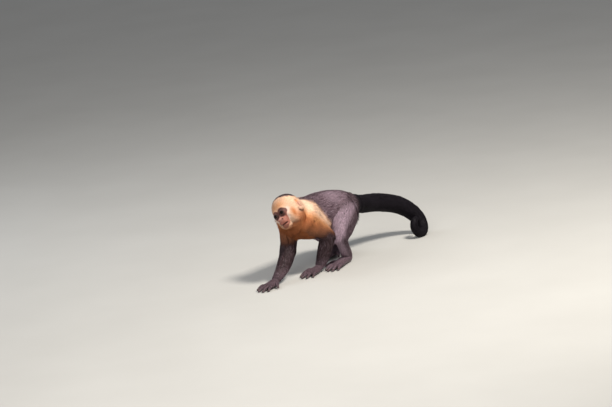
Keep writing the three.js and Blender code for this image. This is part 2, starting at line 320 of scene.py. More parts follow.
def tube_place(points, tube):
    """Distance to a tube's wall, sample number, and the place across the sample."""
    parts = []
    for start in range(0, len(points), BATCH):
        p = points[start : start + BATCH].astype(np.float32)
        m = tube.middles.astype(np.float32)
        near = ((m * m).sum(1)[None] - 2 * p @ m.T).argmin(1)
        rel = p - m[near]
        ahead = (rel * tube.along[near]).sum(1)
        step = np.clip(ahead / tube.spacing, -0.5, 0.5)[:, None]
        width, height = (tube.radii[near] + tube.growth[near] * step).T
        a = (rel * tube.side[near]).sum(1)
        b = (rel * tube.up[near]).sum(1)
        beyond = np.where(near == len(m) - 1, np.maximum(ahead, 0), 0)
        before = np.where(near == 0, np.minimum(ahead, 0), 0)
        over = beyond + before
        dome = np.where(near == 0, tube.domes[0], tube.domes[1])
        f = np.sqrt((a / width) ** 2 + (b / height) ** 2 + (over / dome) ** 2)
        g = np.sqrt((a / width**2) ** 2 + (b / height**2) ** 2 + (over / dome**2) ** 2)
        parts.append((np.where(f < 1e-6, -width, (f - 1) * f / np.maximum(g, 1e-9)), near, a, b))
    return [np.concatenate(part) for part in zip(*parts)]


def extremity_point(limb, along, across, up):
    _, side, start, heading = limb
    turn = math.radians(heading)
    medial = -across if side == "left" else across
    x = start[0] + along * math.sin(turn) + medial * math.cos(turn)
    y = start[1] - along * math.cos(turn) + medial * math.sin(turn)
    return [x, y, up]


def digit_rows(limb, digit, radius):
    (along, across, up), splay, reach = digit
    turn = math.radians(splay)
    rows = []
    for share, lift, girth in DIGIT_PROFILE:
        ahead, aside = share * reach * math.cos(turn), share * reach * math.sin(turn)
        place = extremity_point(limb, along + ahead, across + aside, up + lift)
        rows.append(place + [radius * girth, radius * girth * DIGIT_FLATNESS, DIGIT_COAT])
    return rows


def digits_of(shape):
    """All digits of a hand or foot, each with its radius, the thumb or big toe first."""
    return [(shape.thumb, shape.radius * 1.06)] + [(digit, shape.radius) for digit in shape.digits]


def make_chains():
    chains = [
        chain("trunk", TRUNK, (4, 4)),
        chain("neck", NECK, (6, 6), flow=-1, blend=16),
    ]
    for side in ("left", "right"):
        for name, rows, blend in (("arm", ARM[side], 16), ("leg", LEG[side], 18)):
            chains.append(chain(f"{name}_{side}_upper", rows[: JOINT + 1], (8, 8), blend=blend))
            chains.append(chain(f"{name}_{side}_lower", rows[JOINT:], (8, 3), blend=5))
    chains.append(chain("tail", TAIL, (4, 4), blend=12))
    for name, limb in EXTREMITY.items():
        rows = [
            extremity_point(limb, *place[:3]) + place[3:] + [DIGIT_COAT]
            for place in limb[0].sole
        ]
        chains.append(chain(name, rows, (4.5, 3), blend=5, spacing=2))
        for k, (digit, radius) in enumerate(digits_of(limb[0])):
            rows, domes = digit_rows(limb, digit, radius), (1, radius * 0.55)
            chains.append(chain(f"{name}_digit_{k}", rows, domes, blend=1.6, spacing=1.5))
    return chains


def numbers_of(*prefixes):
    return [k for k, tube in enumerate(CHAINS) if tube.name.startswith(prefixes)]


CHAINS = make_chains()
HEAD = len(CHAINS)  # the head's number, after those of the chains
ARMS = numbers_of("arm")
LEGS = numbers_of("leg", "foot")
TAILS = numbers_of("tail")
DARK_CHAINS = numbers_of("leg", "tail", "hand", "foot")
EXTREMITIES = numbers_of("hand", "foot")
DIGITS = [k for k, tube in enumerate(CHAINS) if "_digit_" in tube.name]


# ---- the head
def ellipsoid(q, at, half):
    """Rough distance from places to an ellipsoid."""
    scaled = (q - at) / half
    near = lengths(scaled)
    steep = lengths(scaled / half)
    return near * (near - 1) / np.maximum(steep, 1e-9)


# Rounded masses of the skin, [left, forward, up] middle, half sizes and blend. Those off the
# middle stand on both sides.
HEAD_MASSES = [
    ((0, -9, 7), (35.3, 42, 39.5), 1),  # cranium
    ((0, 18.5, -3), (26, 19, 28), 10),  # face
    ((17, 6, -19), (13, 18, 17), 9),  # jaw muscles
    ((0, 33, -20), (14.2, 14.6, 12.8), 7),  # muzzle
    ((0, 27.5, -34.5), (12.3, 13.8, 9.8), 7),  # chin
    ((10.5, 29, 13), (10.5, 8, 5), 6),  # brow ridge
    ((19, 21, -6), (8, 10, 8), 7),  # cheekbone
    ((0, 34, -2), (5, 6, 12), 5),  # bridge of the nose
    ((0, 44.6, -11.5), (6, 4, 4), 4),  # tip of the nose
    ((5.8, 43.5, -13), (3.8, 4.2, 3.3), 2.5),  # wings of the nose
    ((0, 40.5, -23), (12, 6.6, 6), 4),  # upper lip
    ((0, 38.5, -32.5), (9.5, 6, 3.8), 3),  # lower lip
]
NOSTRIL = ((7.5, 46.0, -14.2), (1.7, 3.0, 1.6))
EAR_SHELL = (EAR_AT, (4.2, 11, 15.5))
EAR_CUP = (EAR_AT + [4.6, 1.5, 1], (4.4, 7.4, 11))
EAR_RIDGE = (EAR_AT + [2.4, 0.5, 1.5], (1.8, 2.6, 8))
EAR_ZONE = (EAR_AT, (4.6, 11.5, 16))  # coloured and haired as an ear
ORBIT = SimpleNamespace(ahead=7.5, radius=8.5)  # the hollow that each eye lies in
LID_THICKNESS = 1.7
EYE_OPENING = SimpleNamespace(half_width=6.8, upper=5.2, lower=4.4)
MOUTH = SimpleNamespace(up=-29.5, rise=0.012, half_width=12, gap=1.5, depth=2.3)


def on_eye(q):
    """Places from the middle of the nearer eye: outwards, forwards and up."""
    return folded(q) - EYE_AT


def opening_distance(eye):
    """Rough distance outside the gap between the lids, seen from the front."""
    bow = 1 - (eye[:, 0] / EYE_OPENING.half_width) ** 2
    above = eye[:, 2] - EYE_OPENING.upper * bow
    below = -EYE_OPENING.lower * bow - eye[:, 2]
    return np.maximum(above, below)


def mouth_height(q):
    return q[:, 2] - MOUTH.up - MOUTH.rise * q[:, 0] ** 2


def ear_distance(q):
    """An ear on each side: a cupped shell with a rolled rim."""
    m = folded(q)
    shell, cup, ridge = (ellipsoid(m, *form) for form in (EAR_SHELL, EAR_CUP, EAR_RIDGE))
    return smooth_min(smooth_max(shell, -cup, 1.5), ridge, 1.5)


def skull_distance(q):
    """The head without its ears."""
    m = folded(q)
    d = np.full(len(q), 1e3)
    for at, half, blend in HEAD_MASSES:
        d = smooth_min(d, ellipsoid(m, at, half), blend)
    eye = on_eye(q)
    ball = lengths(eye) - EYE_RADIUS
    orbit = lengths(eye - [0, ORBIT.ahead, 0]) - ORBIT.radius
    d = smooth_max(d, -orbit, 5)
    d = smooth_min(d, ball - LID_THICKNESS, 2.5)
    gap = np.maximum(opening_distance(eye), 4 - eye[:, 1])
    d = smooth_max(d, -gap, 0.8)
    d = smooth_max(d, -ellipsoid(m, *NOSTRIL), 0.8)
    fold = np.exp(-((mouth_height(q) / MOUTH.gap) ** 2))
    ends = smooth_step(MOUTH.half_width, MOUTH.half_width - 4, np.abs(q[:, 0]))
    return d + MOUTH.depth * fold * ends * (q[:, 1] > 20)


def head_distance(points):
    q = to_head(points)
    return smooth_min(skull_distance(q), ear_distance(q), 2)


# ---- the whole skin as a field
MARGIN = 14.0  # mm around each chain within which its distance is worked out
FAR = 60.0
HEAD_BLEND = 9


def in_reach(points, tube, margin):
    return ((points > tube.low - margin) & (points < tube.high + margin)).all(1)


def blend_in(d, points, tubes):
    """Joins tubes to the distances d at points."""
    for tube in tubes:
        inside = in_reach(points, tube, MARGIN)
        if inside.any():
            here = tube_place(points[inside], tube)[0]
            d[inside] = smooth_min(d[inside], here, tube.blend)


def skin_distance(points):
    """Distance from points to the skin, below zero inside it."""
    d = np.full(len(points), FAR)
    blend_in(d, points, CHAINS[:2])
    near = near_head(points, MARGIN)
    if near.any():
        d[near] = smooth_min(d[near], head_distance(points[near]), HEAD_BLEND)
    blend_in(d, points, CHAINS[2:])
    return np.maximum(d, FLOOR_GAP - points[:, 2])


def skin_normal(points, step=0.5):
    """The direction out of the skin at points."""
    steps = np.eye(3) * step
    slopes = [skin_distance(points + offset) - skin_distance(points - offset) for offset in steps]
    return unit(np.stack(slopes, axis=1))


# ---- from field to mesh
VOXEL = 1.6
COARSE = 3  # fine cells to a coarse one


def grid_points(low, counts, pitch, index):
    return low + pitch * np.stack(np.unravel_index(index, counts), axis=1)


def sample_grid(low, high, pitch):
    """The field on a grid, worked out in full only near the skin."""
    coarse_counts = np.ceil((high - low) / (pitch * COARSE)).astype(int) + 1
    every = np.arange(coarse_counts.prod())
    wide = pitch * COARSE
    coarse = skin_distance(grid_points(low, coarse_counts, wide, every)).reshape(coarse_counts)
    counts = (coarse_counts - 1) * COARSE + 1
    owner = np.ix_(*[np.minimum((np.arange(n) + COARSE // 2) // COARSE, m - 1)
                     for n, m in zip(counts, coarse_counts)])
    fine = coarse[owner].copy()
    close = np.flatnonzero(np.abs(fine.ravel()) < wide * 1.9)
    values = fine.ravel()
    values[close] = skin_distance(grid_points(low, counts, pitch, close))
    return values.reshape(counts)


def surface_net(values, low, pitch):
    """Points and four-sided faces of the surface where the values cross zero."""
    counts = np.array(values.shape)
    inside = values < 0
    strides = np.array([counts[1] * counts[2], counts[2], 1])
    total = np.zeros((counts.prod(), 3))
    hits = np.zeros(counts.prod())
    faces = []
    for axis in range(3):
        first = [slice(None)] * 3
        second = [slice(None)] * 3
        first[axis] = slice(0, -1)
        second[axis] = slice(1, None)
        crossing = inside[tuple(first)] != inside[tuple(second)]
        at = np.stack(np.nonzero(crossing), axis=1)
        others = [k for k in range(3) if k != axis]
        at = at[(at[:, others] > 0).all(1)]
        start = at @ strides
        va = values.ravel()[start]
        vb = values.ravel()[start + strides[axis]]
        point = at.astype(float)
        point[:, axis] += va / (va - vb)
        u, v = strides[others[0]], strides[others[1]]
        cells = np.stack([start - u - v, start - v, start, start - u], axis=1)
        for k in range(4):
            np.add.at(hits, cells[:, k], 1)
            np.add.at(total, cells[:, k], point)
        flip = (va < 0) != (axis == 1)
        faces.append(np.where(flip[:, None], cells, cells[:, ::-1]))
    faces = np.concatenate(faces)
    used = np.unique(faces)
    place = np.zeros(counts.prod(), int)
    place[used] = np.arange(len(used))
    return low + pitch * total[used] / hits[used][:, None], place[faces]


def settle(points, rounds=2, reach=1.0):
    """Moves points onto the skin."""
    for _ in range(rounds):
        d = skin_distance(points)
        points = points - skin_normal(points) * np.clip(d, -reach, reach)[:, None]
    return points


def body_bounds():
    low = np.min([tube.low for tube in CHAINS] + [HEAD_AT - HEAD_REACH], axis=0)
    high = np.max([tube.high for tube in CHAINS] + [HEAD_AT + HEAD_REACH], axis=0)
    return low - 4, high + 4


def in_scene(name, data):
    made = bpy.data.objects.new(name, data)
    bpy.context.scene.collection.objects.link(made)
    return made


def new_object(name, points, faces):
    """A smooth mesh object from points in mm and faces with the same number of corners."""
    mesh = bpy.data.meshes.new(name)
    faces = np.asarray(faces)
    corners = faces.shape[1]
    mesh.vertices.add(len(points))
    mesh.vertices.foreach_set("co", to_world(points).astype(np.float32).ravel())
    mesh.loops.add(faces.size)
    mesh.loops.foreach_set("vertex_index", faces.astype(np.int32).ravel())
    mesh.polygons.add(len(faces))
    mesh.polygons.foreach_set("loop_start", np.arange(0, faces.size, corners, dtype=np.int32))
    mesh.update(calc_edges=True)
    mesh.polygons.foreach_set("use_smooth", np.full(len(faces), True))
    return in_scene(name, mesh)


def mesh_points(mesh):
    """A mesh's points in mm, in the body's frame."""
    flat = np.empty(len(mesh.vertices) * 3, np.float32)
    mesh.vertices.foreach_get("co", flat)
    return flat.reshape(-1, 3).astype(float) / MM - SHIFT


def set_points(mesh, points):
    mesh.vertices.foreach_set("co", to_world(points).astype(np.float32).ravel())
    mesh.update()


def is_face(points):
    """Where the skin is bare or carries fine features: the face and the ears."""
    q = to_head(points)
    front = (q[:, 1] > 8) & (np.abs(q[:, 0]) < 34) & (q[:, 2] > -46) & (q[:, 2] < 24)
    ears = (np.abs((folded(q) - EAR_AT) / [9, 14, 19]) < 1).all(1)
    return (lengths(q) < HEAD_REACH) & (front | ears)


def is_feature(points):
    """The eyes, nose and mouth."""
    q = to_head(points)
    by_eye = lengths(on_eye(q)) < 15
    muzzle = (q[:, 1] > 31) & (np.abs(q[:, 0]) < 19) & (q[:, 2] < 0) & (q[:, 2] > -36)
    return (q[:, 1] > 20) & (by_eye | muzzle)


def refine(skin, wanted):
    """Halves the faces that a test picks out, and moves the new points onto the skin."""
    cut = bmesh.new()
    cut.from_mesh(skin.data)
    chosen = wanted(mesh_points(skin.data))
    edges = [e for e in cut.edges if chosen[e.verts[0].index] and chosen[e.verts[1].index]]
    bmesh.ops.subdivide_edges(cut, edges=edges, cuts=1, use_grid_fill=True)
    cut.to_mesh(skin.data)
    cut.free()
    points = mesh_points(skin.data)
    chosen = wanted(points)
    points[chosen] = settle(points[chosen])
    set_points(skin.data, points)


def make_skin():
    low, high = body_bounds()
    points, faces = surface_net(sample_grid(low, high, VOXEL), low, VOXEL)
    skin = new_object("skin", points, faces)
    refine(skin, is_face)
    refine(skin, is_feature)
    return skin


# ---- the coat's lie, depth and colour
CREAM = (0.80, 0.54, 0.39)
WHITE = (0.82, 0.61, 0.51)
PEACH = (0.66, 0.30, 0.13)
RUSSET = (0.52, 0.17, 0.06)
# rust and tawny: partly warm browns of the coat, partly painted shade under the chin and on the
# throat and chest
SHADED_RUST = (0.41, 0.145, 0.057)
SHADED_TAWNY = (0.26, 0.085, 0.032)
# the arms' lower cream: partly a browner tone, partly painted shade
ARM_BROWN_AND_SHADE = (0.26, 0.105, 0.055)
# the colour of the painted shadow in the neck's fold
FOLD_SHADE = (0.30, 0.09, 0.03)
BROWN_BLACK = (0.032, 0.017, 0.019)
# the dark coat's grey-brown: partly its own colour, partly painted sheen
SLATE_AND_SHEEN = (0.085, 0.050, 0.063)
# painted sheen: the lilac-grey that light lays on the dark coat
PAINTED_SHEEN = (0.30, 0.215, 0.265)
BLACK = (0.009, 0.007, 0.010)
BROW_SKIN = (0.24, 0.085, 0.06)
FACE_SKIN = (0.38, 0.14, 0.10)
# pink skin of the nose, pale enough to be partly a painted highlight
NOSE_PINK_AND_HIGHLIGHT = (0.64, 0.32, 0.26)
EYE_SKIN = (0.075, 0.027, 0.022)
PALM_SKIN = (0.115, 0.07, 0.086)
EAR_SKIN, EAR_CUP_SKIN = (0.76, 0.47, 0.38), (0.60, 0.28, 0.20)
# the nostrils and the line between the lips: painted shade in their hollows
NOSTRIL_SHADE, MOUTH_SHADE, CHIN_SKIN = (0.05, 0.015, 0.012), (0.07, 0.02, 0.018), (0.30, 0.11, 0.075)
# lilac-grey hairs on the dark coat: partly paler hairs, partly painted sheen
PALE_HAIR_AND_SHEEN = (0.34, 0.26, 0.31)

BORDER_TOP, BORDER_SLOPE = (-51, 203), 0.66  # the pale coat's border: y and z on top of the back
ARM_BORDER = 110  # z of the pale coat's end on the arms
# Marks that fade away around a place: middle and half size, on the left and mirrored. Those on
# the head are [left, forward, up] in its own frame.
FOREHEAD = ([8, 30, 26], [18, 15, 13])
# partly russet hair, partly painted shade under the cheek's ruff
TEMPLE = ([33, 15, -13], [5, 8, 12])
BY_EAR = ([42, -9, 12], [6, 7, 7])
# painted shadow in the fold between the cheek's ruff and the neck
NECK_FOLD_SHADE = ([41, -107, 177], [8, 6, 18])
CAP_AXIS = unit(np.array([0, -0.45, 1]))
CAP_EDGE = 42  # degrees from the axis
FACE_MIDDLE, FACE_HALF = -12, np.array([23, 29.5])  # up; left and up
EYE_RING = 12.5  # mm, the bare skin round an eye


def face_reach(q, behind=(20, 8)):
    """How far places lie from the middle of the bare face: 1 on its edge, far more behind it."""
    left, forward, up = q.T
    across = np.abs(left) / (FACE_HALF[0] - 0.29 * np.clip(-up, 0, 26))  # narrower at the chin
    peak = 4.5 * np.exp(-((left / 6) ** 2)) * smooth_step(0, 10, up)  # of hair, down the forehead
    along = np.abs(up + peak - FACE_MIDDLE) / FACE_HALF[1]
    spread = (across**3 + along**3) ** (1 / 3)
    ring = lengths(on_eye(q)[:, [0, 2]]) / EYE_RING
    return smooth_min(spread, ring, 0.3) + smooth_step(*behind, forward) * 2


def mix(first, second, share):
    return first + (np.asarray(second) - first) * share[:, None]


def painted(ground, points, *layers):
    """A colour at each point, with others laid over it in turn, each by its share."""
    colour = np.tile(ground, (len(points), 1))
    for hue, share in layers:
        colour = mix(colour, hue, share)
    return colour


def ripple(points, pitch, seed):
    """Smooth noise between about -1 and 1, a few waves laid across each other."""
    waves = np.random.default_rng(seed)
    total = np.zeros(len(points))
    for _ in range(6):
        way = unit(waves.normal(size=3)) * waves.uniform(0.7, 1.5) * 2 * math.pi / pitch
        total += np.sin(points @ way + waves.uniform(0, 2 * math.pi))
    return total / 2.5


def blob(points, middle, half):
    """1 at a place, falling away around it."""
    return np.exp(-(((points - middle) / half) ** 2).sum(1))


def on_body(points):
    """For places on the skin: what they belong to, the hair's depth and lie, and a map of it."""
    count = len(points)
    share = np.zeros(count)
    lie = np.zeros((count, 3))
    depth = np.zeros(count)
    best = np.full(count, FAR)
    owner = np.zeros(count, int)
    around = np.zeros(count)
    along = np.zeros(count)

    def add(picked, distance, ways, depths, number, turn, run):
        weight = np.exp(-np.clip(distance, -6, 60) / 4)
        share[picked] += weight
        lie[picked] += ways * weight[:, None]
        depth[picked] += depths * weight
        closer = distance < best[picked]
        rows = np.flatnonzero(picked)[closer]
        best[rows] = distance[closer]
        owner[rows] = number
        around[rows] = turn[closer]
        along[rows] = run[closer]

    for number, tube in enumerate(CHAINS):
        picked = in_reach(points, tube, 10)
        if picked.any():
            distance, near, a, b = tube_place(points[picked], tube)
            turn = np.arctan2(a, b) / (2 * math.pi) + 0.5
            run = near / (len(tube.middles) - 1)
            ways = tube.along[near] * tube.flow
            add(picked, distance, ways, tube.depth[near], number, turn, run)
    picked = near_head(points, 10)
    q = to_head(points[picked])
    ways, depths = head_coat(q)
    turn = np.arctan2(q[:, 0], q[:, 2] + 4) / (2 * math.pi) + 0.5
    run = np.arccos(np.clip(unit(q)[:, 1], -1, 1)) / math.pi
    add(picked, head_distance(points[picked]), ways, depths, HEAD, turn, run)
    share = np.maximum(share, 1e-9)
    lie = lie / share[:, None] + [0, 0, -0.35]
    return owner, depth / share, lie, np.stack([around, along], axis=1)


def head_coat(q):
    """The lie and depth of the hair on the head: back from the face, then down to the neck."""
    away = unit(q - np.array([0, 46, -8]))
    away[:, 2] += 0.35  # made up for by the fall that the whole coat has
    away[:, 2] -= 0.9 * smooth_step(-5, -40, q[:, 1])
    depth = 0.5 + 5.5 * smooth_step(1.0, 1.8, face_reach(q, behind=(22, -12)))
    depth += 1.5 * smooth_step(0, -25, q[:, 1]) * smooth_step(10, 30, q[:, 2])
    depth *= 0.4 + 0.6 * smooth_step(1, 13, ear_distance(q))
    depth = np.where(ellipsoid(folded(q), *EAR_ZONE) < 0.8, 1.2, depth)
    ways = (away * FORWARD_IS_MINUS_Y) @ head_matrix.T
    return ways, depth


def body_colour(points, owner, around):
    """The coat's colour at places on the body: pale in front, dark behind and down the limbs, with
    painted sheen and shade.
    """
    x, y, z = points.T
    wave = ripple(points, 38, 3) * 5
    arm, leg = np.isin(owner, ARMS), np.isin(owner, LEGS)
    # greyer higher up: partly painted sheen above, and painted shade low on the flank between arm
    # and thigh
    side = smooth_step(80, 165, z) * (1 - 0.7 * smooth_step(75, 135, y))
    # painted highlight: the top of the back lighter, as if lit from above
    lit_crest = smooth_step(168, 195, z + wave) * smooth_step(-5, 50, y) * smooth_step(112, 62, y)
    # painted highlight: the front of each leg lighter, its rear left dark
    front = smooth_step(0.1, 0.85, -np.cos(2 * math.pi * around)) * smooth_step(178, 155, z)
    dark = painted(
        BROWN_BLACK,
        points,
        (SLATE_AND_SHEEN, np.maximum(side, 0.5 * leg) * ~arm),
        (PAINTED_SHEEN, np.maximum(0.6 * lit_crest * ~leg, leg * front * 0.95)),
        (BLACK, smooth_step(140, 190, y) * np.isin(owner, [0, *TAILS])),
    )
    edge = y - BORDER_TOP[0] - BORDER_SLOPE * np.clip(BORDER_TOP[1] - z, 0, 90)
    pale = smooth_step(9, -9, edge + wave)
    pale = np.where(arm, smooth_step(ARM_BORDER - 17, ARM_BORDER + 15, z - 0.1 * x + wave), pale)
    pale = np.where(np.isin(owner, DARK_CHAINS), 0, pale)
    # the cream darkens down and forwards to brown: partly a warmer tone, partly painted shade under
    # the chin and on the chest
    tone_and_shade = z + 0.9 * (y + 75) + wave  # falls down and forwards, from the shoulders to the throat
    cream = painted(
        CREAM,
        points,
        (PEACH, smooth_step(192, 160, tone_and_shade)),
        (RUSSET, 0.35 * smooth_step(8, 0, np.abs(edge + wave))),
        (SHADED_RUST, smooth_step(168, 140, tone_and_shade)),
        (SHADED_TAWNY, smooth_step(132, 96, tone_and_shade) * ~arm),
        # painted shade on the lower cream of the arms, partly a browner tone
        (ARM_BROWN_AND_SHADE, smooth_step(160, 112, z + wave) * arm),
    )
    return mix(dark, cream, pale)


def head_colour(points):
    """The face's bare skin, the pale brow and cheeks, the black cap, and painted shade at the
    temple, jaw and chin.
    """
    q = to_head(points)
    m = folded(q)
    _, forward, up = q.T
    wave = ripple(points, 17, 5)
    reach = face_reach(q) + 0.03 * wave
    cheek = smooth_step(1.42, 1.2, reach) * smooth_step(14, 7, up) * smooth_step(-30, -14, up)
    temple, by_ear = blob(m, *TEMPLE), blob(m, *BY_EAR)
    jaw = smooth_step(-10, -26, up) * smooth_step(1.25, 1.8, reach) * smooth_step(30, 0, forward)
    angle = np.degrees(np.arccos(np.clip(unit(q) @ CAP_AXIS, -1, 1)))
    ear = smooth_step(1.0, -0.3, ellipsoid(m, *EAR_ZONE))
    return painted(
        CREAM,
        q,
        (PEACH, 0.15 + 0.7 * blob(m, *FOREHEAD)),
        (WHITE, cheek),
        (PEACH, np.maximum(temple, by_ear)),
        # the temple's russet: partly russet hair, partly painted shade under the cheek's ruff
        (RUSSET, 0.85 * temple + 0.4 * by_ear),
        # painted shade behind the jaw, where the head meets the neck
        (RUSSET, 0.85 * jaw),
        # painted shade under the chin
        (SHADED_RUST, 0.75 * smooth_step(-34, -44, up)),
        (BROWN_BLACK, smooth_step(CAP_EDGE + 5, CAP_EDGE - 4, angle + 2 * wave)),
        (EAR_SKIN, ear),
        (EAR_CUP_SKIN, ear * smooth_step(1, -1, ellipsoid(m, *EAR_CUP))),
        (face_colour(q, wave), smooth_step(1.03, 0.94, reach)),
    )


def face_colour(q, wave):
    """Bare skin: dark at the brow and round the eyes, pink on nose and lips, with a painted
    highlight on the nose and painted shade in the nostrils and mouth.
    """
    left, forward, up = q.T
    eye = lengths(on_eye(q) * [1, 0.6, 1])
    between = np.exp(-((q - [0, 38, 4]) ** 2 / [50, 200, 60]).sum(1))
    mouth = smooth_step(3, 1, np.abs(mouth_height(q))) * (forward > 30)
    return painted(
        BROW_SKIN,
        q,
        (FACE_SKIN, smooth_step(2, -10, up + 0.35 * (forward - 38))),
        (NOSE_PINK_AND_HIGHLIGHT, np.exp(-((q - [0, 46, -10]) ** 2 / [90, 120, 60]).sum(1))),
        (EYE_SKIN, smooth_step(15, 8.5, eye + wave)),
        (EYE_SKIN, 0.6 * between),
        (NOSTRIL_SHADE, smooth_step(0.7, -0.4, ellipsoid(folded(q), *NOSTRIL))),
        (MOUTH_SHADE, mouth * smooth_step(13, 9, np.abs(left))),
        (CHIN_SKIN, smooth_step(-27, -33, up)),
    )


def markings(points, owner, around):
    """The colour of skin and coat at places on the skin."""
    body = body_colour(points, owner, around)
    wrist = smooth_step(50, 14, points[:, 2]) * np.isin(owner, ARMS + LEGS)
    palm = np.where(np.isin(owner, EXTREMITIES), 0.8, 0.7 * wrist)
    body = mix(body, PALM_SKIN, palm)
    by_head = np.isin(owner, [0, 1, HEAD])
    head_share = smooth_step(5, -2, np.where(owner == HEAD, -2, head_distance(points)))
    share = np.where(near_head(points) & by_head, head_share, 0)
    colour = mix(body, 0, share) + head_colour(points) * share[:, None]
    # painted shadow in the fold between head and neck
    fold = blob(folded(points), *NECK_FOLD_SHADE) * np.isin(owner, [1, HEAD])
    colour = mix(colour, FOLD_SHADE, 0.95 * fold)
    nape = by_head * smooth_step(176, 192, points[:, 2])
    nape = nape * smooth_step(-134, -120, points[:, 1])
    nape = nape * smooth_step(13, 5, np.abs(points[:, 0] - 2))
    return mix(colour, BROWN_BLACK, 0.8 * nape)


# ---- materials
class Nodes:
    """A material's node tree, built by short calls."""

    def __init__(self, name):
        self.material = bpy.data.materials.new(name)
        self.material.use_nodes = True
        self.tree = self.material.node_tree
        self.surface = self.tree.nodes["Principled BSDF"]

    def add(self, kind, **settings):
        node = self.tree.nodes.new(kind)
        for name, value in settings.items():
            setattr(node, name, value)
        return node

    def link(self, source, target):
        self.tree.links.new(source, target)

    def feed(self, name, source):
        """Drives one of the surface's values."""
        self.link(source, self.surface.inputs[name])

    def ramp(self, source, stops):
        """Colours at places from 0 to 1. A new node comes with two of its stops."""
        node = self.add("ShaderNodeValToRGB")
        elements = node.color_ramp.elements
        for k, (place, colour) in enumerate(stops):
            element = elements[k] if k < 2 else elements.new(place)
            element.position = place
            element.color = (*colour, 1)
        self.link(source, node.inputs[0])
        return node.outputs[0]

    def attribute(self, name, output="Fac"):
        return self.add("ShaderNodeAttribute", attribute_name=name).outputs[output]

    def noise(self, scale, detail=3):
        place = self.add("ShaderNodeTexCoord").outputs["Object"]
        noise = self.add("ShaderNodeTexNoise")
        noise.inputs["Scale"].default_value = scale
        noise.inputs["Detail"].default_value = detail
        self.link(place, noise.inputs["Vector"])
        return noise.outputs["Fac"]

    def map(self, source, low, high, to_low, to_high):
        node = self.add("ShaderNodeMapRange")
        for k, value in enumerate((low, high, to_low, to_high), 1):
            node.inputs[k].default_value = value
        self.link(source, node.inputs[0])
        return node.outputs[0]

    def maths(self, operation, first, second):
        node = self.add("ShaderNodeMath", operation=operation)
        self.link(first, node.inputs[0])
        self.link(second, node.inputs[1])
        return node.outputs[0]

    def scaled(self, colour, factor):
        node = self.add("ShaderNodeVectorMath", operation="SCALE")
        self.link(colour, node.inputs[0])
        self.link(factor, node.inputs["Scale"])
        return node.outputs[0]

    def bump(self, height, distance, strength):
        node = self.add("ShaderNodeBump")
        node.inputs["Strength"].default_value = strength
        node.inputs["Distance"].default_value = distance
        self.link(height, node.inputs["Height"])
        self.feed("Normal", node.outputs[0])

    def set(self, **values):
        for name, value in values.items():
            self.surface.inputs[name.replace("_", " ")].default_value = value


def coat_material():
    """Hair: the marking's colour, with painted shade towards the root, and strands that differ."""
    n = Nodes("hair")
    shade = n.map(n.attribute("reach"), 0, 1, 0.9, 1.06)
    strand = n.map(n.attribute("strand"), 0, 1, 0.8, 1.18)
    patch = n.map(n.noise(26), 0.3, 0.7, 0.86, 1.12)
    light = n.maths("MULTIPLY", n.maths("MULTIPLY", shade, strand), patch)
    n.feed("Base Color", n.scaled(n.attribute("hue", "Color"), light))
    n.set(Roughness=0.55, Specular_IOR_Level=0.1)
    return n.material


def skin_material():
    """Skin under the hair and bare on face, ears, hands and feet: mottled, finely creased."""
    n = Nodes("skin")
    mottle = n.map(n.noise(160, 5), 0.3, 0.7, 0.8, 1.15)
    n.feed("Base Color", n.scaled(n.attribute("hue", "Color"), mottle))
    n.feed("Roughness", n.map(n.noise(300), 0.3, 0.7, 0.42, 0.62))
    creases = n.add("ShaderNodeTexVoronoi", feature="DISTANCE_TO_EDGE")
    creases.inputs["Scale"].default_value = 900
    n.link(n.add("ShaderNodeTexCoord").outputs["Object"], creases.inputs["Vector"])
    lines = n.map(creases.outputs["Distance"], 0, 0.25, 0, 1)
    n.bump(n.maths("ADD", lines, n.noise(900)), distance=0.0003, strength=0.35)
    n.set(Subsurface_Weight=0.06, Subsurface_Scale=0.004, Specular_IOR_Level=0.4)
    return n.material


def give_values(mesh, name, values):
    layer = mesh.attributes.new(name, "FLOAT", "POINT")
    layer.data.foreach_set("value", np.asarray(values, np.float32))


def give_colours(mesh, name, colours):
    layer = mesh.attributes.new(name, "FLOAT_COLOR", "POINT")
    rgba = np.concatenate([np.clip(colours, 0, 1), np.ones((len(colours), 1))], axis=1)
    layer.data.foreach_set("color", rgba.astype(np.float32).ravel())


# ---- the coat
# Each piece of the coat: the chains it covers and its number of tufts.
COAT_PIECES = {
    "coat_face": ([HEAD], 20500),
    "coat_head": ([HEAD], 31500),
    "coat_neck": (numbers_of("neck"), 30500),
    "coat_front": (numbers_of("trunk"), 26000),
    "coat_back": (numbers_of("trunk"), 27500),
    "coat_arm_left": (numbers_of("arm_left", "hand_left"), 23000),
    "coat_arm_right": (numbers_of("arm_right", "hand_right"), 21000),
    "coat_leg_left": (numbers_of("leg_left", "foot_left"), 25500),
    "coat_leg_right": (numbers_of("leg_right", "foot_right"), 20000),
    "coat_tail": (numbers_of("tail"), 23500),
}
WAIST = 20  # mm, y of the border between coat_front and coat_back
FACE_BACK = 12  # mm, how far forward of the head's middle coat_face starts
ROOT_DEPTH = 0.4  # mm that a tuft starts under the skin
BEND_AT = 0.4  # share of a tuft's length from its root to its bend
PATCH = 0.003  # a tuft's size on the map the colours are baked on


def triangles_of(mesh):
    mesh.calc_loop_triangles()
    flat = np.empty(len(mesh.loop_triangles) * 3, np.int32)
    mesh.loop_triangles.foreach_get("vertices", flat)
    return flat.reshape(-1, 3)


def face_crosses(corners):
    """Vectors out of triangles, each twice as long as its triangle's area."""
    return np.cross(corners[:, 1] - corners[:, 0], corners[:, 2] - corners[:, 0])


